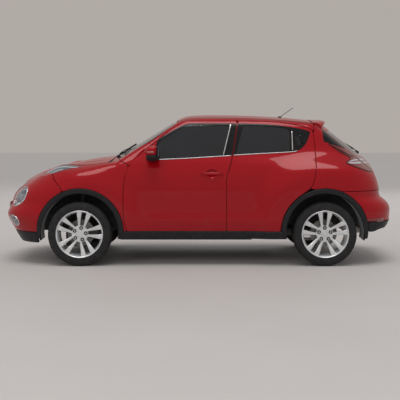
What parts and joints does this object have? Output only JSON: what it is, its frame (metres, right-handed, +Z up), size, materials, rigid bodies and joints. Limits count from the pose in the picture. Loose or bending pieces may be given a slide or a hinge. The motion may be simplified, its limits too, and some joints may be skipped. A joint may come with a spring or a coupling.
{
  "type": "subcompact crossover suv",
  "caption": "Small five-door crossover car body on its wheels, with cabin, opening doors, bonnet and tailgate, steered front wheels and rolling tyres.",
  "frame": {"origin": "centre of the whole car's bounding box in plan, on the ground under the tyres", "axes": "-X is the nose and +X the tail; -Y is the driver's left side; +Z is up"},
  "size_m": [4.1378, 2.0142, 1.6524],
  "materials": {
    "paint": "gloss",
    "cladding": "satin",
    "trim": "gloss",
    "glass": "gloss",
    "screen": "gloss",
    "lamp": "gloss",
    "tail_lamp": "gloss",
    "alloy": "satin",
    "tyre": "matte",
    "steel": "matte",
    "floor_pan": "satin",
    "soft_trim": "matte",
    "seat_fabric": "matte",
    "exhaust_steel": "satin"
  },
  "bodies": {
    "body": {"side_frames": "paint", "roof_panel": "paint", "windscreen": "screen", "cowl": "cladding", "front_fenders": "paint", "front_lamps": "lamp", "front_bumper": "paint", "grille": "trim", "rear_quarters": "paint", "tail_lamps": "tail_lamp", "rear_bumper": "paint", "side_cladding": "cladding", "wheel_arch_liners": "cladding", "underbody": "floor_pan", "engine_block": "steel", "front_subframe": "steel", "rear_axle": "steel", "fuel_tank": "soft_trim", "exhaust": "exhaust_steel", "front_seats": "seat_fabric", "rear_bench": "seat_fabric", "dashboard": "soft_trim", "antenna": "trim"},
    "bonnet": {"bonnet": "paint"},
    "tailgate": {"tailgate": "paint", "tailgate_glass": "glass"},
    "steering_wheel": {"steering_wheel": "trim"},
    "front_door_left": {"front_door_left": "paint", "front_door_glass_left": "glass"},
    "front_wheel_left": {"front_rim_left": "alloy", "front_tyre_left": "tyre"},
    "rear_door_left": {"rear_door_left": "paint", "rear_door_glass_left": "glass"},
    "rear_wheel_left": {"rear_rim_left": "alloy", "rear_tyre_left": "tyre"},
    "front_knuckle_left": {"front_knuckle_left": "steel"},
    "front_door_right": {"front_door_right": "paint", "front_door_glass_right": "glass"},
    "front_wheel_right": {"front_rim_right": "alloy", "front_tyre_right": "tyre"},
    "rear_door_right": {"rear_door_right": "paint", "rear_door_glass_right": "glass"},
    "rear_wheel_right": {"rear_rim_right": "alloy", "rear_tyre_right": "tyre"},
    "front_knuckle_right": {"front_knuckle_right": "steel"}
  },
  "joints": [
    {"name": "bonnet_hinge", "type": "hinge", "parent": "body", "child": "bonnet", "pos_m": [-0.894, 0, 1.122], "axis": [0, 1, 0], "range_deg": [0, 50]},
    {"name": "tailgate_hinge", "type": "hinge", "parent": "body", "child": "tailgate", "pos_m": [1.2125, 0, 1.516], "axis": [0, -1, 0], "range_deg": [0, 80]},
    {"name": "front_door_left_hinge", "type": "hinge", "parent": "body", "child": "front_door_left", "pos_m": [-0.772, -0.8755, 0.7], "axis": [0, 0, -1], "range_deg": [0, 65]},
    {"name": "rear_door_left_hinge", "type": "hinge", "parent": "body", "child": "rear_door_left", "pos_m": [0.297, -0.8537, 0.7], "axis": [0, 0, -1], "range_deg": [0, 65]},
    {"name": "front_door_right_hinge", "type": "hinge", "parent": "body", "child": "front_door_right", "pos_m": [-0.772, 0.8755, 0.7], "axis": [0, 0, 1], "range_deg": [0, 65]},
    {"name": "rear_door_right_hinge", "type": "hinge", "parent": "body", "child": "rear_door_right", "pos_m": [0.297, 0.8537, 0.7], "axis": [0, 0, 1], "range_deg": [0, 65]},
    {"name": "front_left_steer", "type": "hinge", "parent": "body", "child": "front_knuckle_left", "pos_m": [-1.2225, -0.6725, 0.215], "axis": [0, 0.1908, 0.9816], "range_deg": [-35, 35]},
    {"name": "front_wheel_left_spin", "type": "hinge", "parent": "front_knuckle_left", "child": "front_wheel_left", "pos_m": [-1.2225, -0.7625, 0.33], "axis": [0, 1, 0], "continuous": true},
    {"name": "rear_wheel_left_spin", "type": "hinge", "parent": "body", "child": "rear_wheel_left", "pos_m": [1.3075, -0.7625, 0.33], "axis": [0, 1, 0], "continuous": true},
    {"name": "front_right_steer", "type": "hinge", "parent": "body", "child": "front_knuckle_right", "pos_m": [-1.2225, 0.6725, 0.215], "axis": [0, -0.1908, 0.9816], "range_deg": [-35, 35]},
    {"name": "front_wheel_right_spin", "type": "hinge", "parent": "front_knuckle_right", "child": "front_wheel_right", "pos_m": [-1.2225, 0.7625, 0.33], "axis": [0, 1, 0], "continuous": true},
    {"name": "rear_wheel_right_spin", "type": "hinge", "parent": "body", "child": "rear_wheel_right", "pos_m": [1.3075, 0.7625, 0.33], "axis": [0, 1, 0], "continuous": true},
    {"name": "steering_wheel_turn", "type": "hinge", "parent": "body", "child": "steering_wheel", "pos_m": [-0.33, -0.36, 0.96], "axis": [0.9023, 0, 0.4311], "range_deg": [-526, 526]}
  ],
  "couplings": [
    {"joint": "front_right_steer", "follows": "front_left_steer", "ratio": 1},
    {"joint": "steering_wheel_turn", "follows": "front_left_steer", "ratio": 15}
  ]
}
